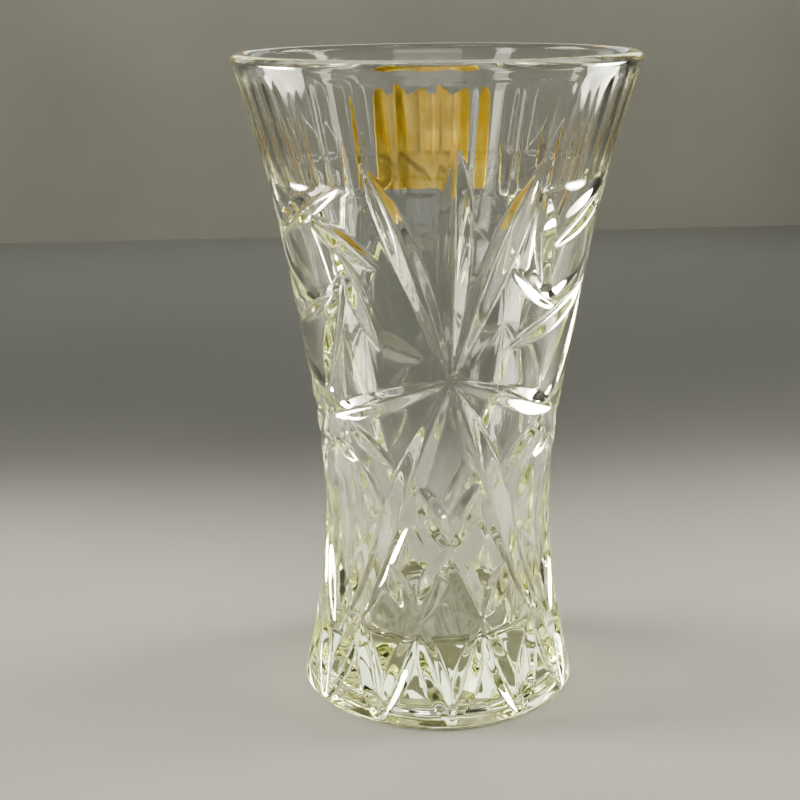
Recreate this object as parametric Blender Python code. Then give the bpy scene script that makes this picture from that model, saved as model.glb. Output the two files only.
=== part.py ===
"""Pressed-glass flower vase: a flared glass body with flutes and mitre cuts, and a foil label on its back.

Lengths are in metres, +Z is up, and the origin is the centre of the foot. Angles round the axis are in
degrees from the front (-Y), positive towards +X.
"""
import math
from collections import namedtuple

import bmesh
import bpy
import numpy as np
from mathutils import Vector
from mathutils.geometry import delaunay_2d_cdt

# Outside of the body: overall height, and radius at the heights that set its curve
HEIGHT = 0.150
FOOT_RADIUS = 0.0333
ANKLE_HEIGHT = 0.020
ANKLE_RADIUS = 0.0292
WAIST_HEIGHT = 0.046
WAIST_RADIUS = 0.0271
CHEST_HEIGHT = 0.090
CHEST_RADIUS = 0.0322
NECK_HEIGHT = 0.126
NECK_RADIUS = 0.0392
RIM_RADIUS = 0.0461

# Inside of the body: a cavity with a rounded floor over a thick foot
FLOOR_THICKNESS = 0.0155
FLOOR_WALL = 0.0098
FLOOR_CORNER = 0.004
WAIST_WALL = 0.0060
CHEST_WALL = 0.0052
RIM_WALL = 0.0034

# Edges: the rounded lip, and the foot that is ground flat round a shallow recess
LIP_STEPS = 4
FOOT_EDGE = 0.0008
FOOT_RING_WIDTH = 0.0065
RECESS_DEPTH = 0.0012

# Flutes under the rim, side by side all the way round, with arched tops; the count is for one repeat
FLUTES = 11
FLUTE_DEPTH = 0.0003
FLUTE_SQUARE = 3
FLUTE_LENGTH = 0.018
FLUTE_RUN_OUT = 0.35
FLUTE_ARCH = 0.0045
RIM_BAND = 0.0037

# Mitre cuts: V grooves that are widest at a share of their length and run out to more or less blunt ends.
# The pattern repeats round the body. Ends are given as (angle from the star's axis, height).
REPEATS = 3
CUT_SLOPE = 0.60
CUT_PEAK = 0.5
CUT_BLUNT = 0.1

# Star: seven rays from one middle
STAR_HEIGHT = 0.0825
RAY_TIP = (0.0, HEIGHT - 0.0150)
RAY_WIDTH = 0.0070
RAY_PEAK = 0.6
DIAGONAL_TIP = (28.0, HEIGHT - 0.0200)
DIAGONAL_WIDTH = 0.0064
ARM_TIP = (60.0, 0.0710)
ARM_WIDTH = 0.0058
LEG_TIP = (45.0, 0.0225)
LEG_WIDTH = 0.0072

# Lattice between the star's legs, and the zigzag that carries it down to the foot
LATTICE_TOP = (16.0, 0.0578)
LATTICE_NODE = (0.0, 0.0425)
LATTICE_SIDE = (30.5, 0.0380)
LATTICE_FOOT = (15.0, 0.0245)
LATTICE_WIDTH = 0.0064
LATTICE_BLUNT = 0.25
SIDE_LEAF_WIDTH = 0.0054
ZIGZAG_TOP = (45.0, 0.0235)
ZIGZAG_STEP = 30.0
ZIGZAG_WIDTH = 0.0058
FOOT_MARGIN = 0.0010

# Panel between two stars: leaves on both sides, and leaves that turn round its middle like a pinwheel
PANEL_WIDTH = 0.0052
NARROW_WIDTH = 0.0038
NARROW_LEAVES = (
    ((26.0, 0.0610), (50.0, 0.0712)),
    ((33.5, 0.0505), (47.0, 0.0620)),
    ((44.0, 0.0612), (60.0, 0.0650)),
)
WIDE_LEAF = ((33.0, 0.0500), (59.0, 0.0180))
PINWHEEL = (
    ((37.0, 0.1105), (85.0, 0.1250)),
    ((67.0, 0.1175), (95.0, 0.1068)),
    ((76.0, 0.1130), (93.0, 0.0885)),
    ((80.5, 0.1070), (58.0, 0.0755)),
    ((22.0, 0.0888), (77.0, 0.1015)),
    ((21.0, 0.1066), (47.0, 0.0962)),
    ((31.0, 0.1235), (37.0, 0.1005)),
)

# Dished oval between the stars
OVAL_HEIGHT = 0.043
OVAL_HALF_WIDTH = 0.0046
OVAL_HALF_LENGTH = 0.0150
OVAL_DEPTH = 0.0010

# Foil label on the back of the neck
LABEL_WIDTH = 0.0286
LABEL_LENGTH = 0.0286
LABEL_CORNER = 0.0025
LABEL_BELOW_RIM = 0.0082
LABEL_ANGLE = 178.0
LABEL_LOBE_ANGLE = 15.0
LABEL_SCALLOP = 0.0022
LABEL_THICKNESS = 0.0002
LABEL_GAP = 0.0003

# Mesh density; the columns are for one repeat of the pattern
COLUMNS = 20
WALL_ROWS = 7
SEAM_ROWS = 36
SEAM_MARGIN = 1.2
LINE_STEPS = 200
LINE_STRIDE = 33
SEEN = 0.00003
FLUTE_LINES = 4
ARCH_STEPS = 8
ROUNDS = 6
ROUND_POINTS = 40
ROUND_ERROR = 0.00004
MERGE = 0.0003
INSIDE_ROWS = 8
LABEL_COLUMNS = 22
LABEL_ROWS = 8
WELD = 0.00002
SHARP_ANGLE = 12.0

SECTOR = 360.0 / REPEATS
PITCH = SECTOR / FLUTES
FLUTE_SPRING = HEIGHT - RIM_BAND - FLUTE_ARCH
COLUMN_STEP = SECTOR / COLUMNS
WALL_TOP = HEIGHT - RIM_WALL / 2
WALL_FOOT = FOOT_EDGE

Cut = namedtuple("Cut", "start end width peak blunt")


def smooth_curve(stations, height):
    """Radius at a height, or at an array of heights, on a smooth curve through (height, radius) stations."""
    levels, radii = np.array(stations).T
    slopes = np.gradient(radii, levels)
    i = np.clip(np.searchsorted(levels, height) - 1, 0, len(levels) - 2)
    span = levels[i + 1] - levels[i]
    t = (height - levels[i]) / span
    rise = (3 * t ** 2 - 2 * t ** 3) * (radii[i + 1] - radii[i])
    start_lean = (t ** 3 - 2 * t ** 2 + t) * span * slopes[i]
    end_lean = (t ** 3 - t ** 2) * span * slopes[i + 1]
    return radii[i] + rise + start_lean + end_lean


OUTSIDE = (
    (0.0, FOOT_RADIUS),
    (ANKLE_HEIGHT, ANKLE_RADIUS),
    (WAIST_HEIGHT, WAIST_RADIUS),
    (CHEST_HEIGHT, CHEST_RADIUS),
    (NECK_HEIGHT, NECK_RADIUS),
    (HEIGHT, RIM_RADIUS),
)


def outside(height):
    """Radius of the body before anything is cut into it."""
    return smooth_curve(OUTSIDE, height)


INSIDE = (
    (FLOOR_THICKNESS, outside(FLOOR_THICKNESS) - FLOOR_WALL),
    (WAIST_HEIGHT, WAIST_RADIUS - WAIST_WALL),
    (CHEST_HEIGHT, CHEST_RADIUS - CHEST_WALL),
    (HEIGHT, RIM_RADIUS - RIM_WALL),
)


def inside(height):
    """Radius of the cavity's wall."""
    return smooth_curve(INSIDE, height)


def both_sides(start, end, width, peak=CUT_PEAK, blunt=CUT_BLUNT):
    """A cut and its mirror image across the star's axis."""
    return [
        Cut((side * start[0], start[1]), (side * end[0], end[1]), width, peak, blunt)
        for side in (1, -1)
    ]


def star_cuts():
    """The rays of the star."""
    middle = (0.0, STAR_HEIGHT)
    cuts = [Cut(middle, RAY_TIP, RAY_WIDTH, RAY_PEAK, CUT_BLUNT)]
    cuts += both_sides(middle, DIAGONAL_TIP, DIAGONAL_WIDTH, RAY_PEAK)
    cuts += both_sides(middle, ARM_TIP, ARM_WIDTH, RAY_PEAK)
    cuts += both_sides(middle, LEG_TIP, LEG_WIDTH)
    return cuts


def lattice_cuts():
    """Crossing leaves under the star, and the zigzag in the foot."""
    cuts = both_sides(LATTICE_TOP, LATTICE_NODE, LATTICE_WIDTH, CUT_PEAK, LATTICE_BLUNT)
    cuts += both_sides(LATTICE_NODE, LATTICE_FOOT, LATTICE_WIDTH, CUT_PEAK, LATTICE_BLUNT)
    cuts += both_sides(LATTICE_SIDE, LATTICE_FOOT, SIDE_LEAF_WIDTH)
    for top, step in ((LATTICE_FOOT, 0), (LATTICE_FOOT, 1), (ZIGZAG_TOP, 1), (ZIGZAG_TOP, 2)):
        low = (step * ZIGZAG_STEP, FOOT_MARGIN)
        cuts += both_sides(top, low, ZIGZAG_WIDTH, CUT_PEAK, LATTICE_BLUNT)
    return cuts


def panel_cuts():
    """Leaves of the panel between two stars."""
    cuts = both_sides(*WIDE_LEAF, PANEL_WIDTH)
    for start, end in NARROW_LEAVES:
        cuts += both_sides(start, end, NARROW_WIDTH)
    return cuts + [Cut(start, end, PANEL_WIDTH, CUT_PEAK, CUT_BLUNT) for start, end in PINWHEEL]


CUTS = star_cuts() + lattice_cuts() + panel_cuts()


def cut_frame(cut):
    """Middle angle of a cut, metres per degree there, and its start and run on the wall laid flat."""
    middle = (cut.start[0] + cut.end[0]) / 2
    scale = math.radians(outside((cut.start[1] + cut.end[1]) / 2))
    start = np.array(((cut.start[0] - middle) * scale, cut.start[1]))
    end = np.array(((cut.end[0] - middle) * scale, cut.end[1]))
    return middle, scale, start, end - start


def swell(cut, along):
    """Share of a cut's full width at places along it, from 0 at its start to 1 at its end."""
    reach = np.where(along < cut.peak, cut.peak, 1 - cut.peak)
    away = (along - cut.peak) / reach
    return cut.blunt + (1 - cut.blunt) * (1 - away * away)


def wrapped(angle, span):
    """Angle brought to within half a span of zero."""
    return (angle + span / 2) % span - span / 2


def mitre_depth(cut, angle, height):
    """Depth of one V groove; below zero outside it."""
    middle, scale, start, run = cut_frame(cut)
    across = wrapped(angle - middle, SECTOR) * scale - start[0]
    up = height - start[1]
    along = np.clip((across * run[0] + up * run[1]) / run.dot(run), 0.0, 1.0)
    off = np.hypot(across - along * run[0], up - along * run[1])
    return CUT_SLOPE * (cut.width / 2 * swell(cut, along) - off)


def oval_depth(angle, height):
    """Depth of the dished oval halfway between two stars."""
    across = wrapped(angle - SECTOR / 2, SECTOR) * math.radians(outside(OVAL_HEIGHT)) / OVAL_HALF_WIDTH
    along = (height - OVAL_HEIGHT) / OVAL_HALF_LENGTH
    return OVAL_DEPTH * (1 - across * across - along * along)


def flute_depth(angle, height):
    """Depth of the flutes: flat hollows that meet in ridges, arched at the top and run out at the foot."""
    across = np.abs(wrapped(angle - SECTOR / 2 - PITCH / 2, PITCH)) / (PITCH / 2)
    above = np.maximum(height - FLUTE_SPRING, 0.0) / FLUTE_ARCH
    below = np.maximum(FLUTE_SPRING - FLUTE_LENGTH - height, 0.0)
    hollow = FLUTE_DEPTH * (1 - across ** FLUTE_SQUARE - above ** FLUTE_SQUARE)
    return np.maximum(hollow - FLUTE_RUN_OUT * below, 0.0)


def wall_depth(angle, height):
    """How far the finished outside lies below the smooth curve."""
    deepest = np.maximum(oval_depth(angle, height), flute_depth(angle, height))
    for cut in CUTS:
        deepest = np.maximum(deepest, mitre_depth(cut, angle, height))
    room = CUT_SLOPE * np.minimum(height - WALL_FOOT, HEIGHT - RIM_BAND - height)
    return np.maximum(np.minimum(deepest, room), 0.0)


def place(angle, radius, height):
    """Point in space at an angle round the axis."""
    turn = math.radians(angle)
    return Vector((radius * math.sin(turn), -radius * math.cos(turn), height))


def cut_lines():
    """Floor and edges of each cut as (angles, heights, seen); seen is false where another is deeper."""
    along = np.linspace(0.0, 1.0, LINE_STEPS + 1)
    lines = []
    for cut in CUTS:
        middle, scale, start, run = cut_frame(cut)
        aside = np.array((-run[1], run[0])) / math.hypot(*run)
        half = cut.width / 2 * swell(cut, along)
        for side in (-1, 0, 1):
            angle = middle + (start[0] + run[0] * along + aside[0] * side * half) / scale
            level = start[1] + run[1] * along + aside[1] * side * half
            own = 0.0 if side else CUT_SLOPE * half
            lines.append((angle, level, wall_depth(angle, level) <= own + SEEN))
    return lines


def crossing(angle, level, i):
    """Height at which a line crosses the border between two sectors after its point i."""
    border = SECTOR * (math.floor(max(angle[i], angle[i + 1]) / SECTOR + 0.5) - 0.5)
    share = (border - angle[i]) / (angle[i + 1] - angle[i])
    return level[i] + share * (level[i + 1] - level[i])


def seam_levels(lines):
    """Heights of the corners on the borders between sectors: where the pattern crosses, and even steps."""
    levels = [WALL_FOOT, WALL_TOP, FLUTE_SPRING]
    for angle, level, seen in lines:
        lap = np.floor(angle / SECTOR + 0.5)
        for i in np.nonzero(np.diff(lap) != 0)[0]:
            if seen[i]:
                levels.append(crossing(angle, level, i))
    levels += [WALL_FOOT + (WALL_TOP - WALL_FOOT) * i / SEAM_ROWS for i in range(1, SEAM_ROWS)]
    kept = []
    for level in levels:
        inside_wall = WALL_FOOT <= level <= WALL_TOP
        if inside_wall and all(abs(level - other) > 3 * MERGE for other in kept):
            kept.append(level)
    return sorted(kept)


def stretches(line, seam):
    """Parts of a line that show in the sector round the front, as lists of (angle, height) corners."""
    angle, level, seen = line
    half = SECTOR / 2
    found = [[]]
    for i in range(len(angle)):
        fits = seen[i] and abs(angle[i]) < half and WALL_FOOT + 2 * MERGE < level[i] < WALL_TOP - 2 * MERGE
        if not fits:
            found.append([])
            continue
        for j in (i - 1, i + 1):
            if 0 <= j < len(angle) and abs(angle[j]) >= half:
                height = crossing(angle, level, min(i, j))
                nearest = min(seam, key=lambda row: abs(row - height))
                found[-1].append((math.copysign(half, angle[i]), nearest))
        if abs(angle[i]) > half - SEAM_MARGIN:
            continue
        ends = i + 1 == len(angle) or not seen[i + 1]
        if ends or not found[-1] or i % LINE_STRIDE == 0:
            found[-1].append((angle[i], level[i]))
    return [stretch for stretch in found if stretch]


def flute_lines():
    """Ridges, floors and flanks of the flutes of one sector, and the arches over them."""
    foot = FLUTE_SPRING - FLUTE_LENGTH
    levels = (foot - FLUTE_DEPTH / FLUTE_RUN_OUT, foot, foot + FLUTE_LENGTH / 2, FLUTE_SPRING)
    step = PITCH / FLUTE_LINES
    lines = [[(step * i - SECTOR / 2, level) for level in levels] for i in range(1, FLUTES * FLUTE_LINES)]
    turn = np.linspace(-math.pi / 2, math.pi / 2, ARCH_STEPS + 1)
    aside = PITCH / 2 * np.sign(turn) * np.abs(np.sin(turn)) ** (2 / FLUTE_SQUARE)
    arch = FLUTE_SPRING + FLUTE_ARCH * np.abs(np.cos(turn)) ** (2 / FLUTE_SQUARE)
    for i in range(FLUTES):
        middle = PITCH * (i + 0.5) - SECTOR / 2
        lines.append(list(zip(middle + aside, arch)))
    return lines


def wall_points():
    """Loose points that keep the plain areas of one sector round."""
    points = []
    for row in range(1, WALL_ROWS):
        level = WALL_FOOT + (WALL_TOP - WALL_FOOT) * row / WALL_ROWS
        points += [(COLUMN_STEP * i - SECTOR / 2, level) for i in range(1, COLUMNS)]
    return points


def triangles(lines, points):
    """Corners and triangles of one sector laid flat, with the lines among the triangles' edges."""
    scale = math.radians(CHEST_RADIUS) / MERGE
    flat = []
    edges = []
    for line in lines:
        first = len(flat)
        flat += [Vector((angle * scale, level / MERGE)) for angle, level in line]
        edges += [(i, i + 1) for i in range(first, len(flat) - 1)]
    flat += [Vector((angle * scale, level / MERGE)) for angle, level in points]
    corners, _, faces, *_ = delaunay_2d_cdt(flat, edges, [], 0, 1.0)
    return np.array([(corner.x / scale, corner.y * MERGE) for corner in corners]), np.array(faces)


def worst_points(corners, faces):
    """Points of the wall that the triangles miss by most."""
    radius = outside(corners[:, 1]) - wall_depth(corners[:, 0], corners[:, 1])
    turn = np.radians(corners[:, 0])
    solid = np.stack((radius * np.sin(turn), radius * np.cos(turn)), axis=1)
    spots = []
    misses = []
    for weights in ((1, 1, 1), (4, 1, 1), (1, 4, 1), (1, 1, 4)):
        share = np.array(weights)[None, :, None] / sum(weights)
        spot = (corners[faces] * share).sum(axis=1)
        flat = np.hypot(*(solid[faces] * share).sum(axis=1).T)
        true = outside(spot[:, 1]) - wall_depth(spot[:, 0], spot[:, 1])
        spots.append(spot)
        misses.append(np.abs(true - flat))
    pick = np.argmax(misses, axis=0)
    every = np.arange(len(faces))
    miss = np.array(misses)[pick, every]
    spot = np.array(spots)[pick, every]
    miss[np.abs(spot[:, 0]) > SECTOR / 2 - SEAM_MARGIN] = 0.0
    order = np.argsort(-miss, kind="stable")[:ROUND_POINTS]
    return [tuple(spot[i]) for i in order if miss[i] > ROUND_ERROR]


def wall_sector():
    """One sector of the outside as (angle, height) corners and triangles."""
    half = SECTOR / 2
    found = cut_lines()
    seam = seam_levels(found)
    across = [COLUMN_STEP * i - half for i in range(COLUMNS + 1)]
    lines = [[(angle, level) for angle in across] for level in (WALL_FOOT, WALL_TOP)]
    lines += [[(side, level) for level in seam] for side in (-half, half)]
    lines += flute_lines()
    for angle, level, seen in found:
        for turn in (-SECTOR, 0.0, SECTOR):
            lines += stretches((angle + turn, level, seen), seam)
    points = wall_points()
    for _ in range(ROUNDS):
        points += worst_points(*triangles(lines, points))
    return triangles(lines, points)


def ring(bm, radius, height):
    """A ring of corners on the mesh's columns."""
    angles = [COLUMN_STEP * i - SECTOR / 2 for i in range(COLUMNS * REPEATS)]
    return [bm.verts.new(place(angle, radius, height)) for angle in angles]


def join_rings(bm, first, second):
    """Faces between two rings; they look outwards where the second ring follows the first going down."""
    for i in range(len(first)):
        j = (i + 1) % len(first)
        bm.faces.new((first[i], second[i], second[j], first[j]))


def inside_profile():
    """(radius, height) corners from the outer edge of the lip, over it and down to the floor's middle."""
    radius = RIM_WALL / 2
    middle = outside(WALL_TOP) - radius
    profile = []
    for i in range(LIP_STEPS + 1):
        turn = math.pi * i / LIP_STEPS
        profile.append((middle + radius * math.cos(turn), WALL_TOP + radius * math.sin(turn)))
    bend = FLOOR_THICKNESS + FLOOR_CORNER
    for i in range(1, INSIDE_ROWS):
        level = WALL_TOP + (bend - WALL_TOP) * i / INSIDE_ROWS
        profile.append((inside(level), level))
    centre = inside(bend) - FLOOR_CORNER
    for i in range(LIP_STEPS + 1):
        turn = math.pi / 2 * i / LIP_STEPS
        profile.append((centre + FLOOR_CORNER * math.cos(turn), bend - FLOOR_CORNER * math.sin(turn)))
    profile.append((centre / 2, FLOOR_THICKNESS))
    return profile


def foot_profile():
    """(radius, height) corners from the edge of the foot, under its ring and into the recess."""
    ring_inside = FOOT_RADIUS - FOOT_EDGE - FOOT_RING_WIDTH
    return [
        (outside(WALL_FOOT), WALL_FOOT),
        (FOOT_RADIUS - FOOT_EDGE, 0.0),
        (ring_inside, 0.0),
        (ring_inside - 2 * RECESS_DEPTH, RECESS_DEPTH),
        (ring_inside / 2, RECESS_DEPTH),
    ]


def add_wall(bm):
    """The cut and fluted outside, one sector at a time."""
    spots, faces = wall_sector()
    radii = outside(spots[:, 1]) - wall_depth(spots[:, 0], spots[:, 1])
    used = sorted({int(i) for face in faces for i in face})
    for repeat in range(REPEATS):
        corners = {}
        for i in used:
            corners[i] = bm.verts.new(place(spots[i][0] + SECTOR * repeat, radii[i], spots[i][1]))
        for face in faces:
            bm.faces.new([corners[int(i)] for i in face])


def glass_material():
    """Clear, faintly warm glass."""
    material = bpy.data.materials.new("clear_glass")
    material.use_nodes = True
    shader = material.node_tree.nodes["Principled BSDF"]
    shader.inputs["Base Color"].default_value = (0.93, 0.93, 0.86, 1.0)
    shader.inputs["Metallic"].default_value = 0.0
    shader.inputs["Roughness"].default_value = 0.03
    shader.inputs["IOR"].default_value = 1.54
    shader.inputs["Transmission Weight"].default_value = 1.0
    return material


def foil_material():
    """Bright yellow-gold foil."""
    material = bpy.data.materials.new("gold_foil")
    material.use_nodes = True
    shader = material.node_tree.nodes["Principled BSDF"]
    shader.inputs["Base Color"].default_value = (0.78, 0.56, 0.17, 1.0)
    shader.inputs["Metallic"].default_value = 1.0
    shader.inputs["Roughness"].default_value = 0.32
    return material


def finished(bm, name, material):
    """An object in the scene from a finished mesh."""
    mesh = bpy.data.meshes.new(name)
    bm.to_mesh(mesh)
    bm.free()
    mesh.shade_smooth()
    mesh.set_sharp_from_angle(angle=math.radians(SHARP_ANGLE))
    mesh.materials.append(material)
    piece = bpy.data.objects.new(name, mesh)
    bpy.context.collection.objects.link(piece)
    return piece


def make_body():
    """The glass: outside wall, lip, cavity and foot as one closed skin."""
    bm = bmesh.new()
    add_wall(bm)
    for profile in (inside_profile(), foot_profile()):
        rings = [ring(bm, radius, level) for radius, level in profile]
        for first, second in zip(rings, rings[1:]):
            join_rings(bm, first, second)
        bm.faces.new(rings[-1])
    bmesh.ops.remove_doubles(bm, verts=bm.verts, dist=WELD)
    bmesh.ops.recalc_face_normals(bm, faces=bm.faces)
    bmesh.ops.triangulate(bm, faces=[face for face in bm.faces if len(face.verts) > 3])
    return finished(bm, "vase_body", glass_material())


def label_half_width(off):
    """Half the label's width at a distance above or below its middle: square with round corners."""
    into = abs(off) - (LABEL_LENGTH / 2 - LABEL_CORNER)
    if into <= 0:
        return LABEL_WIDTH / 2
    return LABEL_WIDTH / 2 - LABEL_CORNER + math.sqrt(max(LABEL_CORNER ** 2 - into ** 2, 0.0))


def scallop(angle, off):
    """How far the label's upper part rises in its three lobes and dips between them."""
    share = max(2 * off / LABEL_LENGTH, 0.0)
    return LABEL_SCALLOP * share * share * math.cos(2 * math.pi * (angle - LABEL_ANGLE) / LABEL_LOBE_ANGLE)


def make_label():
    """The foil label, pressed into the flutes of the back wall."""
    middle = HEIGHT - LABEL_BELOW_RIM - LABEL_LENGTH / 2
    bm = bmesh.new()
    rows = []
    for row in range(LABEL_ROWS + 1):
        off = LABEL_LENGTH / 2 * math.sin(math.pi * (row / LABEL_ROWS - 0.5))
        half = math.degrees(label_half_width(off) / outside(middle + off))
        line = []
        for column in range(LABEL_COLUMNS + 1):
            angle = LABEL_ANGLE + half * (2 * column / LABEL_COLUMNS - 1)
            level = middle + off + scallop(angle, off)
            radius = outside(level) - flute_depth(angle, level) + LABEL_GAP
            line.append(bm.verts.new(place(angle, radius, level)))
        rows.append(line)
    for low, high in zip(rows, rows[1:]):
        for i in range(LABEL_COLUMNS):
            bm.faces.new((low[i], low[i + 1], high[i + 1], high[i]))
    label = finished(bm, "foil_label", foil_material())
    skin = label.modifiers.new("thickness", "SOLIDIFY")
    skin.thickness = LABEL_THICKNESS
    skin.offset = 1.0
    return label


def main():
    for piece in list(bpy.data.objects):
        bpy.data.objects.remove(piece, do_unlink=True)
    body = make_body()
    label = make_label()
    label.parent = body


main()
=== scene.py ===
"""Flower vase of clear pressed glass with a gold foil label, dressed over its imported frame.

Lengths are in metres, +Z is up, and the origin is the centre of the foot. Angles round the axis are in
degrees from the front (-Y), positive towards +X.
"""

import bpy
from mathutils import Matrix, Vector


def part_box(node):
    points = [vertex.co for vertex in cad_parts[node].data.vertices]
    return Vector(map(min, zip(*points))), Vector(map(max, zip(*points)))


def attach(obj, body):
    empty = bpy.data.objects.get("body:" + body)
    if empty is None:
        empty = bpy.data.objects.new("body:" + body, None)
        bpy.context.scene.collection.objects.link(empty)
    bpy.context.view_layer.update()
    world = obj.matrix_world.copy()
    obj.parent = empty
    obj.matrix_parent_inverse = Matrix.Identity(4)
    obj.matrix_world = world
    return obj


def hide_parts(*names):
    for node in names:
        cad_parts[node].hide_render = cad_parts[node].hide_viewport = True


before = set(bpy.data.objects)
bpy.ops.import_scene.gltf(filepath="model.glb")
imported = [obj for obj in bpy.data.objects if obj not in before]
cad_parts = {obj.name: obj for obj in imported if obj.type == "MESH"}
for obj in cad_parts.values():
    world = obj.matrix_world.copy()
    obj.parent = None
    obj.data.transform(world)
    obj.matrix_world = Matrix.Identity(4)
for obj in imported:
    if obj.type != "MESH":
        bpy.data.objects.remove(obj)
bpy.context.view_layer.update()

import math
from collections import namedtuple

import bpy
import numpy as np
from bpy.props import FloatProperty, FloatVectorProperty, IntProperty, PointerProperty
from bpy.types import Operator, Panel, PropertyGroup
from mathutils import Matrix, Vector

bl_info = {
    "name": "Pressed glass flower vase",
    "version": (1, 0, 0),
    "blender": (4, 5, 0),
    "location": "3D View > Sidebar > Vase",
    "description": "Dresses a flower vase in cut-pattern glass with a foil label on a pale studio floor",
    "category": "Object",
}

# Outside of the glass before the pattern sinks into it: (height, radius) stations
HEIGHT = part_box("vase_body")[1][2]
FOOT_RADIUS = 0.0333
RIM_RADIUS = 0.0461
OUTSIDE = (
    (0.0, FOOT_RADIUS),
    (0.020, 0.0292),
    (0.046, 0.0271),
    (0.090, 0.0322),
    (0.126, 0.0392),
    (HEIGHT, RIM_RADIUS),
)


def smooth_curve(stations, height):
    """Radius at each height on a smooth curve through (height, radius) stations."""
    levels, radii = np.array(stations).T
    slopes = np.gradient(radii, levels)
    i = np.clip(np.searchsorted(levels, height) - 1, 0, len(levels) - 2)
    span = levels[i + 1] - levels[i]
    t = (height - levels[i]) / span
    rise = (3 * t ** 2 - 2 * t ** 3) * (radii[i + 1] - radii[i])
    start_lean = (t ** 3 - 2 * t ** 2 + t) * span * slopes[i]
    end_lean = (t ** 3 - t ** 2) * span * slopes[i + 1]
    return radii[i] + rise + start_lean + end_lean


def outside(height):
    """Radius of the glass before the pattern sinks into it."""
    return smooth_curve(OUTSIDE, height)


# Cavity, lip and foot
FLOOR_HEIGHT = 0.0155
FLOOR_CORNER = 0.004
FLOOR_WALL = 0.0098
FLOOR_RADIUS = outside(FLOOR_HEIGHT) - FLOOR_WALL
LIP_WALL = 0.0034
INSIDE = (
    (FLOOR_HEIGHT, FLOOR_RADIUS),
    (0.046, 0.0211),
    (0.090, 0.0270),
    (HEIGHT, RIM_RADIUS - LIP_WALL),
)
LIP_HEIGHT = HEIGHT - LIP_WALL / 2
FOOT_EDGE = 0.0008
FOOT_RING_WIDTH = 0.0065
RECESS_DEPTH = 0.0012
RECESS_SLOPE = 3 * RECESS_DEPTH

# Waves in the cavity's wall: share of the ripple, waves round the axis, waves over the height, and phase
RIPPLE_WAVES = ((1.0, 3, 2.1, 0.0), (0.7, 5, -3.4, 1.0), (0.5, 2, 5.2, 0.0))

# Rows of points in the parts of the skin, and shares of a flat part's width where its rows lie
RECESS_SHARES = (0.05, 0.3, 0.6, 0.8)
RECESS_STEPS = 6
RING_SHARES = (0.7, 0.35)
FOOT_EDGE_STEPS = 6
LIP_STEPS = 14
CAVITY_STEPS = 71
CORNER_STEPS = 12
FLOOR_SHARES = (0.8, 0.55, 0.3, 0.05)

# Flutes under the rim
FLUTES = 33
FLUTE_PITCH = 360.0 / FLUTES
FLUTE_DEPTH = 0.0003
FLUTE_SQUARE = 3
FLUTE_LENGTH = 0.018
FLUTE_RUN_OUT = 0.35
FLUTE_ARCH = 0.0045
RIM_BAND = 0.0037
FLUTE_SPRING = HEIGHT - RIM_BAND - FLUTE_ARCH

# Mitre cuts: (angle from the star's axis, height) of both ends, widest at a share of the length
REPEATS = 3
SECTOR = 360.0 / REPEATS
CUT_SLOPE = 0.60
CUT_PEAK = 0.5
CUT_BLUNT = 0.1
STAR_MIDDLE = (0.0, 0.0825)
RAY_TIP = (0.0, HEIGHT - 0.0150)
RAY_WIDTH = 0.0070
RAY_PEAK = 0.6
DIAGONAL_TIP = (28.0, HEIGHT - 0.0200)
DIAGONAL_WIDTH = 0.0064
ARM_TIP = (60.0, 0.0710)
ARM_WIDTH = 0.0058
LEG_TIP = (45.0, 0.0225)
LEG_WIDTH = 0.0072
LATTICE_TOP = (16.0, 0.0578)
LATTICE_NODE = (0.0, 0.0425)
LATTICE_SIDE = (30.5, 0.0380)
LATTICE_FOOT = (15.0, 0.0245)
LATTICE_WIDTH = 0.0064
LATTICE_BLUNT = 0.25
SIDE_LEAF_WIDTH = 0.0054
ZIGZAG_TOP = (45.0, 0.0235)
ZIGZAG_STEP = 30.0
ZIGZAG_WIDTH = 0.0058
ZIGZAG_FOOT = 0.0010
PANEL_WIDTH = 0.0052
NARROW_WIDTH = 0.0038
NARROW_LEAVES = (
    ((26.0, 0.0610), (50.0, 0.0712)),
    ((33.5, 0.0505), (47.0, 0.0620)),
    ((44.0, 0.0612), (60.0, 0.0650)),
)
WIDE_LEAF = ((33.0, 0.0500), (59.0, 0.0180))
PINWHEEL = (
    ((37.0, 0.1105), (85.0, 0.1250)),
    ((67.0, 0.1175), (95.0, 0.1068)),
    ((76.0, 0.1130), (93.0, 0.0885)),
    ((80.5, 0.1070), (58.0, 0.0755)),
    ((22.0, 0.0888), (77.0, 0.1015)),
    ((21.0, 0.1066), (47.0, 0.0962)),
    ((31.0, 0.1235), (37.0, 0.1005)),
)
OVAL_HEIGHT = 0.043
OVAL_HALF_WIDTH = 0.0046
OVAL_HALF_LENGTH = 0.0150
OVAL_DEPTH = 0.0010

# Foil label on the back of the neck
LABEL_ANGLE = 178.0
LABEL_BELOW_RIM = 0.0082
LABEL_CORNER = 0.0025
LABEL_LOBE_ANGLE = 15.0
LABEL_SCALLOP = 0.0022
LABEL_GAP = -0.00005
LABEL_THICKNESS = 0.0002
LABEL_ROWS = 61
LABEL_COLUMNS = 73

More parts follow.
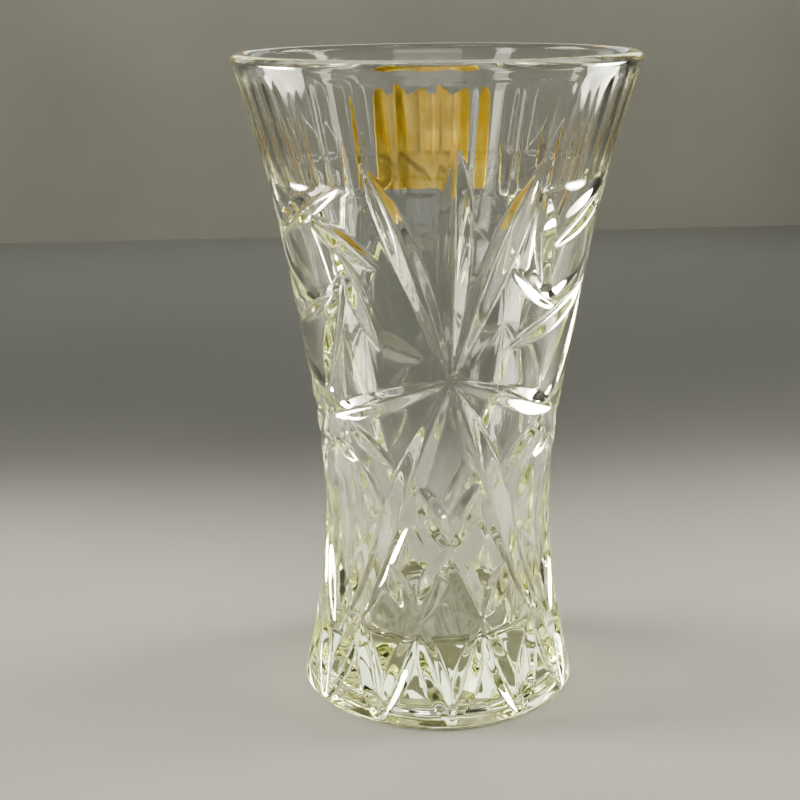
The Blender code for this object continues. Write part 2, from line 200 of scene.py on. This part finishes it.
# Finishes: scale and detail of each noise, and the span of its values that counts
SMEAR_NOISE = (55.0, 4.0)
SMEAR_SPAN = (0.50, 0.80)
SMEAR_ROUGHNESS = 0.045
RUBBED_NOISE = (120.0, 5.0)
RUBBED_SPAN = (0.38, 0.64)
SATIN_NOISE = (160.0, 3.0)
SATIN_SPAN = (0.35, 0.65)
SATIN_ROUGHNESS = (0.30, 0.46)
ROLLED_NOISE = (90.0, 2.0)
ROLLED_STRETCH = (1.0, 1.0, 0.4)
ROLLED_STRENGTH = 0.15
ROLLED_HEIGHT = 0.0004
MOTTLE_NOISE = (6.0, 4.0)
MOTTLE_SPAN = (0.3, 0.7)
PAINT_ROUGHNESS = 0.7

# Stage: floor and backdrop, how much the mottle darkens them, and the faint light of the room
STAGE_REACH = 2.4
BACKDROP_AWAY = 0.64
BACKDROP_TOP = 1.6
FLOOR_LEVEL = -0.0002
FLOOR_MOTTLE = 0.06
BACKDROP_MOTTLE = 0.12
ROOM_LIGHT = (0.05, 0.05, 0.045)

# How the picture is taken: contrast, exposure in stops, and how often light may bounce in the glass
PICTURE_LOOK = "AgX - Very High Contrast"
PICTURE_EXPOSURE = -0.42
ALL_BOUNCES = 40
GLASS_BOUNCES = 32

# Camera: where it stands and how it is turned, and the picture it takes
PICTURE_SIDE = 800
FOCAL_PIXELS = 1402.1
SENSOR_WIDTH = 36.0
CAMERA_PLACE = Vector((-0.0318, -0.3185, 0.1635))
CAMERA_ASIDE = 1.579
CAMERA_PITCH = 16.40
CAMERA_ROLL = 0.62
NEAREST_SEEN = 0.01

# Lamps: name, place, (width, height), watts, colour, the point it is aimed at, and the beam's angle.
# The low softboxes at the sides shine in the cuts, which look sideways. The floor behind the vase, where
# the plain glass looks, is lit less than the floor in front, so that the cuts stand out from it.
MIDDLE = (0.0, 0.0, HEIGHT / 2)
WARM = (1.0, 0.97, 0.83)
SOFT = (1.0, 0.975, 0.89)
COOL = (0.95, 0.99, 1.0)
LAMPS = (
    ("left_softbox", (-0.30, 0.06, 0.075), (0.20, 0.12), 0.50, WARM, (-0.05, 0.02, 0.075), 44.0),
    ("right_softbox", (0.30, 0.06, 0.075), (0.20, 0.12), 0.40, WARM, (0.05, 0.02, 0.075), 44.0),
    ("left_key", (-0.21, -0.01, 0.62), (0.22, 0.22), 0.12, SOFT, (-0.22, -0.02, 0.0), 44.0),
    ("right_key", (0.21, -0.01, 0.62), (0.22, 0.22), 0.12, SOFT, (0.22, -0.02, 0.0), 44.0),
    ("front_key", (0.0, -0.30, 0.62), (0.30, 0.22), 0.06, SOFT, (0.0, -0.17, 0.0), 36.0),
    ("top_softbox", (0.0, -0.10, 1.20), (1.0, 1.0), 1.2, SOFT, (0.0, 0.0, 0.0), 180.0),
    ("wall_softbox", (0.0, 0.30, 0.90), (1.2, 0.20), 0.30, SOFT, (0.0, 0.64, 0.36), 60.0),
    ("room_softbox", (0.0, -1.5, 1.5), (1.4, 1.4), 4.0, SOFT, (0.0, -1.5, 0.0), 80.0),
    ("left_strip", (-0.44, -0.33, 0.25), (0.10, 0.48), 0.75, WARM, MIDDLE, 180.0),
    ("right_strip", (0.50, -0.10, 0.30), (0.07, 0.60), 0.75, WARM, MIDDLE, 180.0),
    ("back_left_softbox", (-0.42, 0.55, 0.34), (0.30, 0.26), 0.32, COOL, MIDDLE, 180.0),
    ("back_softbox", (-0.03, 0.60, 0.34), (0.30, 0.24), 0.29, COOL, MIDDLE, 180.0),
    ("back_right_softbox", (0.34, 0.56, 0.36), (0.26, 0.30), 0.29, COOL, MIDDLE, 180.0),
    ("front_softbox", (0.0, -0.60, 0.37), (0.50, 0.24), 0.56, SOFT, MIDDLE, 180.0),
)

Cut = namedtuple("Cut", "start end width peak blunt")


class VaseGlassSettings(PropertyGroup):
    """Shape and finish of the glass body."""

    columns: IntProperty(
        name="Columns",
        description="Points round the glass, a multiple of the flutes",
        default=594,
        min=72,
    )
    rows: IntProperty(
        name="Wall rows",
        description="Rows of points up the cut outside",
        default=300,
        min=40,
    )
    edge_round: FloatProperty(
        name="Edge softness",
        description="How far the pressed edges are melted back",
        default=0.00006,
        unit="LENGTH",
        precision=6,
    )
    valley_round: FloatProperty(
        name="Valley softness",
        description="Radius at the bottom of the cuts",
        default=0.00030,
        unit="LENGTH",
        precision=6,
    )
    ripple: FloatProperty(
        name="Ripple",
        description="Height of the faint waves that pressing leaves in the cavity's wall",
        default=0.00004,
        unit="LENGTH",
        precision=6,
    )
    tint: FloatVectorProperty(
        name="Tint",
        description="Colour that thick glass takes on",
        default=(0.92, 0.96, 0.55),
        subtype="COLOR",
        min=0.0,
        max=1.0,
    )
    density: FloatProperty(
        name="Tint depth",
        description="How quickly the tint builds up in the glass, per metre",
        default=12.0,
    )
    refraction: FloatProperty(
        name="Index of refraction",
        description="How strongly the glass bends light",
        default=1.54,
    )


class VaseLabelSettings(PropertyGroup):
    """Size and colours of the foil label."""

    width: FloatProperty(
        name="Width",
        description="Width of the label along the wall",
        default=0.0286,
        unit="LENGTH",
    )
    length: FloatProperty(
        name="Length",
        description="Length of the label down the wall",
        default=0.0286,
        unit="LENGTH",
    )
    gold: FloatVectorProperty(
        name="Gold",
        description="Main colour of the foil",
        default=(0.87, 0.60, 0.10),
        subtype="COLOR",
        min=0.0,
        max=1.0,
    )
    pale_gold: FloatVectorProperty(
        name="Pale gold",
        description="Colour of the foil where it is rubbed",
        default=(0.95, 0.74, 0.22),
        subtype="COLOR",
        min=0.0,
        max=1.0,
    )


class VaseStageSettings(PropertyGroup):
    """Floor, backdrop and light."""

    floor: FloatVectorProperty(
        name="Floor",
        description="Colour of the floor",
        default=(0.45, 0.45, 0.436),
        subtype="COLOR",
        min=0.0,
        max=1.0,
    )
    backdrop: FloatVectorProperty(
        name="Backdrop",
        description="Colour of the wall behind the floor",
        default=(0.74, 0.74, 0.69),
        subtype="COLOR",
        min=0.0,
        max=1.0,
    )
    brightness: FloatProperty(
        name="Brightness",
        description="Strength of all the lamps together",
        default=1.0,
        min=0.0,
    )


def both_sides(start, end, width, peak=CUT_PEAK, blunt=CUT_BLUNT):
    """A cut and its mirror image across the star's axis."""
    return [
        Cut((side * start[0], start[1]), (side * end[0], end[1]), width, peak, blunt)
        for side in (1, -1)
    ]


def star_cuts():
    """The seven rays of a star."""
    cuts = [Cut(STAR_MIDDLE, RAY_TIP, RAY_WIDTH, RAY_PEAK, CUT_BLUNT)]
    cuts += both_sides(STAR_MIDDLE, DIAGONAL_TIP, DIAGONAL_WIDTH, RAY_PEAK)
    cuts += both_sides(STAR_MIDDLE, ARM_TIP, ARM_WIDTH, RAY_PEAK)
    return cuts + both_sides(STAR_MIDDLE, LEG_TIP, LEG_WIDTH)


def lattice_cuts():
    """Crossing leaves under the star, and the zigzag in the foot."""
    cuts = both_sides(LATTICE_TOP, LATTICE_NODE, LATTICE_WIDTH, CUT_PEAK, LATTICE_BLUNT)
    cuts += both_sides(LATTICE_NODE, LATTICE_FOOT, LATTICE_WIDTH, CUT_PEAK, LATTICE_BLUNT)
    cuts += both_sides(LATTICE_SIDE, LATTICE_FOOT, SIDE_LEAF_WIDTH)
    for top, step in ((LATTICE_FOOT, 0), (LATTICE_FOOT, 1), (ZIGZAG_TOP, 1), (ZIGZAG_TOP, 2)):
        low = (step * ZIGZAG_STEP, ZIGZAG_FOOT)
        cuts += both_sides(top, low, ZIGZAG_WIDTH, CUT_PEAK, LATTICE_BLUNT)
    return cuts


def panel_cuts():
    """Leaves of the panel between two stars."""
    cuts = both_sides(*WIDE_LEAF, PANEL_WIDTH)
    for start, end in NARROW_LEAVES:
        cuts += both_sides(start, end, NARROW_WIDTH)
    return cuts + [Cut(start, end, PANEL_WIDTH, CUT_PEAK, CUT_BLUNT) for start, end in PINWHEEL]


def wrapped(angle, span):
    """Angle brought to within half a span of zero."""
    return (angle + span / 2) % span - span / 2


def swell(cut, along):
    """Share of a cut's full width at places along it."""
    reach = np.where(along < cut.peak, cut.peak, 1 - cut.peak)
    away = (along - cut.peak) / reach
    return cut.blunt + (1 - cut.blunt) * (1 - away * away)


def mitre_depth(cut, angle, height, valley_round):
    """Depth of one V groove with a rounded bottom; below zero outside it."""
    middle = (cut.start[0] + cut.end[0]) / 2
    scale = math.radians(outside((cut.start[1] + cut.end[1]) / 2))
    run = np.array(((cut.end[0] - cut.start[0]) * scale, cut.end[1] - cut.start[1]))
    across = wrapped(angle - middle, SECTOR) * scale - (cut.start[0] - middle) * scale
    up = height - cut.start[1]
    along = np.clip((across * run[0] + up * run[1]) / run.dot(run), 0.0, 1.0)
    off = np.hypot(across - along * run[0], up - along * run[1])
    return CUT_SLOPE * (cut.width / 2 * swell(cut, along) - np.hypot(off, valley_round))


def oval_depth(angle, height):
    """Depth of the dished oval halfway between two stars."""
    across = wrapped(angle - SECTOR / 2, SECTOR) * math.radians(outside(OVAL_HEIGHT)) / OVAL_HALF_WIDTH
    along = (height - OVAL_HEIGHT) / OVAL_HALF_LENGTH
    return OVAL_DEPTH * (1 - across * across - along * along)


def flute_depths(angle, height):
    """Depth of the nearest flute and of its neighbour."""
    middle = (SECTOR + FLUTE_PITCH) / 2
    across = np.abs(wrapped(angle - middle, FLUTE_PITCH)) / (FLUTE_PITCH / 2)
    above = np.maximum(height - FLUTE_SPRING, 0.0) / FLUTE_ARCH
    below = FLUTE_RUN_OUT * np.maximum(FLUTE_SPRING - FLUTE_LENGTH - height, 0.0)
    arch = above ** FLUTE_SQUARE
    return [FLUTE_DEPTH * (1 - off ** FLUTE_SQUARE - arch) - below for off in (across, 2 - across)]


def wall_depth(angle, height, glass):
    """How far the pressed pattern sinks the outside, with its edges melted round."""
    soft = glass.edge_round
    depths = flute_depths(angle, height) + [oval_depth(angle, height)]
    for cut in star_cuts() + lattice_cuts() + panel_cuts():
        depths.append(mitre_depth(cut, angle, height, glass.valley_round))
    total = np.ones_like(angle)
    for depth in depths:
        total += np.exp(depth / soft)
    deepest = soft * np.log(total)
    room = CUT_SLOPE * np.minimum(height - FOOT_EDGE, HEIGHT - RIM_BAND - height)
    limited = -soft * np.log(np.exp(-deepest / soft) + np.exp(-np.maximum(room, -soft) / soft))
    return np.maximum(limited, 0.0)


def arc(middle, radius, start, end, steps):
    """(radius, height) points on a circular arc, its angles in degrees from the +radius direction."""
    turns = np.radians(np.linspace(start, end, steps + 1))
    return np.array(middle) + radius * np.stack((np.cos(turns), np.sin(turns)), axis=1)


def under_profile():
    """(radius, height) rows from the middle of the recess out to the edge of the foot."""
    ring_inside = FOOT_RADIUS - FOOT_EDGE - FOOT_RING_WIDTH
    recess = [(ring_inside * share, RECESS_DEPTH) for share in RECESS_SHARES]
    along = np.linspace(0.0, 1.0, RECESS_STEPS + 1)
    fall = along * along * (3 - 2 * along)
    slope = np.stack((ring_inside - RECESS_SLOPE * (1 - along), RECESS_DEPTH * (1 - fall)), axis=1)
    ring = [(FOOT_RADIUS - FOOT_EDGE - FOOT_RING_WIDTH * share, 0.0) for share in RING_SHARES]
    middle = (FOOT_RADIUS - FOOT_EDGE, FOOT_EDGE)
    edge = arc(middle, FOOT_EDGE, -90.0, 0.0, FOOT_EDGE_STEPS)
    edge[:, 0] -= (edge[:, 0] - middle[0]) / FOOT_EDGE * (FOOT_RADIUS - outside(FOOT_EDGE))
    return np.concatenate((recess, slope, ring, edge[:-1]))


def cavity_profile():
    """(radius, height) rows over the lip, down the cavity and in to the middle of its floor."""
    radius = LIP_WALL / 2
    lip = arc((outside(LIP_HEIGHT) - radius, LIP_HEIGHT), radius, 0.0, 180.0, LIP_STEPS)
    bend = FLOOR_HEIGHT + FLOOR_CORNER
    levels = np.linspace(LIP_HEIGHT, bend, CAVITY_STEPS + 1)[1:-1]
    wall = np.stack((smooth_curve(INSIDE, levels), levels), axis=1)
    centre = smooth_curve(INSIDE, bend) - FLOOR_CORNER
    corner = arc((centre, bend), FLOOR_CORNER, 0.0, -90.0, CORNER_STEPS)
    floor = [(centre * share, FLOOR_HEIGHT) for share in FLOOR_SHARES]
    return np.concatenate((lip[1:], wall, corner, floor))


def cavity_ripple(angle, height, size):
    """Faint waves in the cavity's wall."""
    turn = np.radians(angle)
    up = height / HEIGHT * 2 * math.pi
    return size * sum(
        share * np.sin(around * turn + upward * up + phase)
        for share, around, upward, phase in RIPPLE_WAVES
    )


def glass_rows(glass):
    """Points of the glass's whole skin: rows from under the foot to the cavity's floor, by columns."""
    angle = np.arange(glass.columns) * 360.0 / glass.columns
    levels = np.linspace(FOOT_EDGE, LIP_HEIGHT, glass.rows)
    sector = glass.columns // REPEATS
    grid_angle, grid_level = np.meshgrid(angle[:sector], levels)
    depth = np.tile(wall_depth(grid_angle, grid_level, glass), (1, REPEATS))
    height = levels[:, None]
    wall = np.dstack((outside(height) - depth, np.broadcast_to(height, depth.shape)))
    under = np.repeat(under_profile()[:, None, :], glass.columns, axis=1)
    cavity = np.repeat(cavity_profile()[:, None, :], glass.columns, axis=1)
    fade = np.clip((LIP_HEIGHT - cavity[:, :, 1]) / FLOOR_CORNER, 0.0, 1.0)
    fade *= np.clip((cavity[:, :, 1] - FLOOR_HEIGHT) / FLOOR_CORNER, 0.0, 1.0)
    cavity[:, :, 0] += fade * cavity_ripple(angle[None, :], cavity[:, :, 1], glass.ripple)
    profile = np.concatenate((under, wall, cavity))
    turn = np.radians(angle)[None, :]
    radius = profile[:, :, 0]
    return np.dstack((radius * np.sin(turn), -radius * np.cos(turn), profile[:, :, 1]))


def closed_skin(name, rows):
    """A closed mesh over rows of points round an axis, with a point on the axis at both ends."""
    count, columns = rows.shape[:2]
    ends = [(0.0, 0.0, rows[row, 0, 2]) for row in (0, -1)]
    points = np.concatenate((rows.reshape(-1, 3), ends))
    here = np.arange(columns)
    after = np.roll(here, -1)
    base = (np.arange(count - 1) * columns)[:, None]
    above = base + columns
    quads = np.stack((base + here, base + after, above + after, above + here), axis=-1)
    last = (count - 1) * columns
    low = np.stack((after, here, np.full(columns, count * columns)), axis=-1)
    high = np.stack((last + here, last + after, np.full(columns, count * columns + 1)), axis=-1)
    loops = np.concatenate((quads.ravel(), low.ravel(), high.ravel()))
    sizes = np.concatenate((np.full(quads.size // 4, 4), np.full(2 * columns, 3)))
    mesh = bpy.data.meshes.new(name)
    mesh.vertices.add(len(points))
    mesh.vertices.foreach_set("co", points.ravel())
    mesh.loops.add(len(loops))
    mesh.loops.foreach_set("vertex_index", loops.astype(np.int32))
    mesh.polygons.add(len(sizes))
    mesh.polygons.foreach_set("loop_start", (np.cumsum(sizes) - sizes).astype(np.int32))
    mesh.update(calc_edges=True)
    mesh.validate()
    mesh.shade_smooth()
    return mesh


def new_material(name):
    """An empty node material with its output and a Principled shader joined to it."""
    material = bpy.data.materials.new(name)
    material.use_nodes = True
    tree = material.node_tree
    tree.nodes.clear()
    output = tree.nodes.new("ShaderNodeOutputMaterial")
    shader = tree.nodes.new("ShaderNodeBsdfPrincipled")
    tree.links.new(shader.outputs["BSDF"], output.inputs["Surface"])
    return material, tree, shader, output


def noise(tree, scale, detail, stretch=(1.0, 1.0, 1.0)):
    """Noise in the object's own space."""
    place = tree.nodes.new("ShaderNodeTexCoord")
    mapping = tree.nodes.new("ShaderNodeMapping")
    mapping.inputs["Scale"].default_value = stretch
    texture = tree.nodes.new("ShaderNodeTexNoise")
    texture.inputs["Scale"].default_value = scale
    texture.inputs["Detail"].default_value = detail
    tree.links.new(place.outputs["Object"], mapping.inputs["Vector"])
    tree.links.new(mapping.outputs["Vector"], texture.inputs["Vector"])
    return texture.outputs["Fac"]


def between(tree, value, span, low, high):
    """A value whose span is spread from low to high."""
    spread = tree.nodes.new("ShaderNodeMapRange")
    spread.inputs["From Min"].default_value, spread.inputs["From Max"].default_value = span
    spread.inputs["To Min"].default_value = low
    spread.inputs["To Max"].default_value = high
    tree.links.new(value, spread.inputs["Value"])
    return spread.outputs["Result"]


def two_colours(tree, value, span, first, second):
    """A colour that goes from the first to the second over a value's span."""
    ramp = tree.nodes.new("ShaderNodeValToRGB")
    for element, position, colour in zip(ramp.color_ramp.elements, span, (first, second)):
        element.position = position
        element.color = (*colour, 1.0)
    tree.links.new(value, ramp.inputs["Fac"])
    return ramp.outputs["Color"]


def bump(tree, shader, value, strength, distance):
    """Small relief on a shader."""
    relief = tree.nodes.new("ShaderNodeBump")
    relief.inputs["Strength"].default_value = strength
    relief.inputs["Distance"].default_value = distance
    tree.links.new(value, relief.inputs["Height"])
    tree.links.new(relief.outputs["Normal"], shader.inputs["Normal"])


def glass_material(glass):
    """Fire-polished glass: clear, faintly warm in its depth, with a trace of handling on its skin."""
    material, tree, shader, output = new_material("clear_glass")
    shader.inputs["Base Color"].default_value = (1.0, 1.0, 1.0, 1.0)
    shader.inputs["Transmission Weight"].default_value = 1.0
    shader.inputs["IOR"].default_value = glass.refraction
    smear = between(tree, noise(tree, *SMEAR_NOISE), SMEAR_SPAN, 0.0, SMEAR_ROUGHNESS)
    tree.links.new(smear, shader.inputs["Roughness"])
    inner = tree.nodes.new("ShaderNodeVolumeAbsorption")
    inner.inputs["Color"].default_value = (*glass.tint, 1.0)
    inner.inputs["Density"].default_value = glass.density
    tree.links.new(inner.outputs["Volume"], output.inputs["Volume"])
    return material


def foil_material(label):
    """Rolled gold foil, rubbed paler in places."""
    material, tree, shader, _ = new_material("gold_foil")
    shader.inputs["Metallic"].default_value = 1.0
    colour = two_colours(tree, noise(tree, *RUBBED_NOISE), RUBBED_SPAN, label.gold, label.pale_gold)
    tree.links.new(colour, shader.inputs["Base Color"])
    satin = between(tree, noise(tree, *SATIN_NOISE), SATIN_SPAN, *SATIN_ROUGHNESS)
    tree.links.new(satin, shader.inputs["Roughness"])
    bump(tree, shader, noise(tree, *ROLLED_NOISE, ROLLED_STRETCH), ROLLED_STRENGTH, ROLLED_HEIGHT)
    return material


def dress(piece, node):
    """Puts a finished piece in the scene in the place of a CAD node."""
    bpy.context.scene.collection.objects.link(piece)
    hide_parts(node)
    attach(piece, "root")


class VASE_OT_glass_body(Operator):
    """Make the pressed glass body"""

    bl_idname = "vase.glass_body"
    bl_label = "Glass body"

    def execute(self, context):
        glass = context.scene.vase_glass
        mesh = closed_skin("vase_glass", glass_rows(glass))
        mesh.materials.append(glass_material(glass))
        dress(bpy.data.objects.new("vase_glass", mesh), "vase_body")
        return {"FINISHED"}


def label_half_width(off, label):
    """Half the label's width at a distance above or below its middle: square with round corners."""
    into = np.maximum(np.abs(off) - (label.length / 2 - LABEL_CORNER), 0.0)
    return label.width / 2 - LABEL_CORNER + np.sqrt(np.maximum(LABEL_CORNER ** 2 - into ** 2, 0.0))


def label_rows(label):
    """Points of the foil, rows up by columns across, pressed into the flutes."""
    middle = HEIGHT - LABEL_BELOW_RIM - label.length / 2
    off = label.length / 2 * np.sin(np.linspace(-math.pi / 2, math.pi / 2, LABEL_ROWS))[:, None]
    level = middle + off
    side = np.linspace(-1.0, 1.0, LABEL_COLUMNS)[None, :]
    across = side * label_half_width(off, label)
    angle = LABEL_ANGLE + np.degrees(across / outside(level))
    upper = np.maximum(2 * off / label.length, 0.0)
    lobes = np.cos(2 * math.pi * (angle - LABEL_ANGLE) / LABEL_LOBE_ANGLE)
    level = level + LABEL_SCALLOP * upper * upper * lobes
    depth = np.maximum(np.maximum(*flute_depths(angle, level)), 0.0)
    radius = outside(level) - depth + LABEL_GAP
    turn = np.radians(angle)
    return np.dstack((radius * np.sin(turn), -radius * np.cos(turn), level))


def sheet_mesh(name, rows):
    """A mesh over a grid of points."""
    count, columns = rows.shape[:2]
    faces = [
        (row * columns + i, row * columns + i + 1, (row + 1) * columns + i + 1, (row + 1) * columns + i)
        for row in range(count - 1)
        for i in range(columns - 1)
    ]
    mesh = bpy.data.meshes.new(name)
    mesh.from_pydata([tuple(point) for point in rows.reshape(-1, 3)], [], faces)
    mesh.shade_smooth()
    return mesh


class VASE_OT_foil_label(Operator):
    """Make the gold foil label"""

    bl_idname = "vase.foil_label"
    bl_label = "Foil label"

    def execute(self, context):
        label = context.scene.vase_label
        mesh = sheet_mesh("gold_label", label_rows(label))
        mesh.materials.append(foil_material(label))
        piece = bpy.data.objects.new("gold_label", mesh)
        skin = piece.modifiers.new("thickness", "SOLIDIFY")
        skin.thickness = LABEL_THICKNESS
        skin.offset = 1.0
        dress(piece, "foil_label")
        return {"FINISHED"}


def plain_material(name, colour, mottle):
    """A matt painted surface with a faint mottle."""
    material, tree, shader, _ = new_material(name)
    darker = [part * (1 - mottle) for part in colour]
    paint = two_colours(tree, noise(tree, *MOTTLE_NOISE), MOTTLE_SPAN, darker, colour)
    tree.links.new(paint, shader.inputs["Base Color"])
    shader.inputs["Roughness"].default_value = PAINT_ROUGHNESS
    return material


def stage_sheet(name, corners, material):
    """One flat sheet of the stage."""
    mesh = bpy.data.meshes.new(name)
    mesh.from_pydata(corners, [], [tuple(range(len(corners)))])
    mesh.materials.append(material)
    sheet = bpy.data.objects.new(name, mesh)
    bpy.context.scene.collection.objects.link(sheet)


def soft_lamp(name, place, size, power, colour, aim, spread):
    """A softbox; the spread is the angle of its beam in degrees."""
    lamp = bpy.data.lights.new(name, "AREA")
    lamp.shape = "RECTANGLE"
    lamp.size, lamp.size_y = size
    lamp.energy = power
    lamp.color = colour
    lamp.spread = math.radians(spread)
    holder = bpy.data.objects.new(name, lamp)
    holder.location = place
    holder.rotation_euler = (Vector(aim) - Vector(place)).to_track_quat("-Z", "Y").to_euler()
    holder.visible_camera = False
    bpy.context.scene.collection.objects.link(holder)


def set_camera(scene):
    """The camera, turned as the picture was taken."""
    data = bpy.data.cameras.new("camera")
    data.sensor_width = SENSOR_WIDTH
    data.lens = FOCAL_PIXELS / PICTURE_SIDE * SENSOR_WIDTH
    data.clip_start = NEAREST_SEEN
    camera = bpy.data.objects.new("camera", data)
    to_vase = math.atan2(-CAMERA_PLACE.y, -CAMERA_PLACE.x)
    heading = to_vase + math.radians(CAMERA_ASIDE)
    turn = Matrix.Rotation(heading - math.pi / 2, 4, "Z")
    tilt = Matrix.Rotation(math.radians(90.0 - CAMERA_PITCH), 4, "X")
    roll = Matrix.Rotation(math.radians(-CAMERA_ROLL), 4, "Z")
    camera.matrix_world = Matrix.Translation(CAMERA_PLACE) @ turn @ tilt @ roll
    scene.collection.objects.link(camera)
    scene.camera = camera


class VASE_OT_stage(Operator):
    """Set the floor, the backdrop, the lamps and the camera"""

    bl_idname = "vase.stage"
    bl_label = "Stage"

    def execute(self, context):
        stage = context.scene.vase_stage
        sides = (-STAGE_REACH, STAGE_REACH)
        near_left, near_right = [(x, -STAGE_REACH, FLOOR_LEVEL) for x in sides]
        far_left, far_right = [(x, BACKDROP_AWAY, FLOOR_LEVEL) for x in sides]
        top_left, top_right = [(x, BACKDROP_AWAY, BACKDROP_TOP) for x in sides]
        paint = plain_material("pale_floor", stage.floor, FLOOR_MOTTLE)
        stage_sheet("pale_floor", [near_left, near_right, far_right, far_left], paint)
        paint = plain_material("grey_backdrop", stage.backdrop, BACKDROP_MOTTLE)
        stage_sheet("grey_backdrop", [far_left, far_right, top_right, top_left], paint)
        for name, place, size, watts, colour, aim, spread in LAMPS:
            soft_lamp(name, place, size, watts * stage.brightness, colour, aim, spread)
        context.scene.view_settings.look = PICTURE_LOOK
        context.scene.view_settings.exposure = PICTURE_EXPOSURE
        world = bpy.data.worlds.new("studio")
        world.use_nodes = True
        world.node_tree.nodes["Background"].inputs["Color"].default_value = (*ROOM_LIGHT, 1.0)
        context.scene.world = world
        context.scene.cycles.max_bounces = ALL_BOUNCES
        context.scene.cycles.glossy_bounces = GLASS_BOUNCES
        context.scene.cycles.transmission_bounces = GLASS_BOUNCES
        set_camera(context.scene)
        return {"FINISHED"}


class VASE_PT_panel(Panel):
    """Lists the vase's settings and the buttons that make it"""

    bl_idname = "VASE_PT_panel"
    bl_label = "Flower vase"
    bl_space_type = "VIEW_3D"
    bl_region_type = "UI"
    bl_category = "Vase"

    def draw(self, context):
        for group, operator in SECTIONS:
            box = self.layout.box()
            settings = getattr(context.scene, group)
            for name in settings.__annotations__:
                box.prop(settings, name)
            box.operator(operator)


SECTIONS = (
    ("vase_glass", VASE_OT_glass_body.bl_idname),
    ("vase_label", VASE_OT_foil_label.bl_idname),
    ("vase_stage", VASE_OT_stage.bl_idname),
)
GROUPS = {
    "vase_glass": VaseGlassSettings,
    "vase_label": VaseLabelSettings,
    "vase_stage": VaseStageSettings,
}
OPERATORS = (VASE_OT_glass_body, VASE_OT_foil_label, VASE_OT_stage)


def register():
    for name, group in GROUPS.items():
        bpy.utils.register_class(group)
        setattr(bpy.types.Scene, name, PointerProperty(type=group))
    for operator in OPERATORS:
        bpy.utils.register_class(operator)
    bpy.utils.register_class(VASE_PT_panel)


def unregister():
    bpy.utils.unregister_class(VASE_PT_panel)
    for operator in reversed(OPERATORS):
        bpy.utils.unregister_class(operator)
    for name, group in reversed(GROUPS.items()):
        delattr(bpy.types.Scene, name)
        bpy.utils.unregister_class(group)


def main():
    register()
    bpy.ops.vase.glass_body()
    bpy.ops.vase.foil_label()
    bpy.ops.vase.stage()


if __name__ == "__main__":
    main()
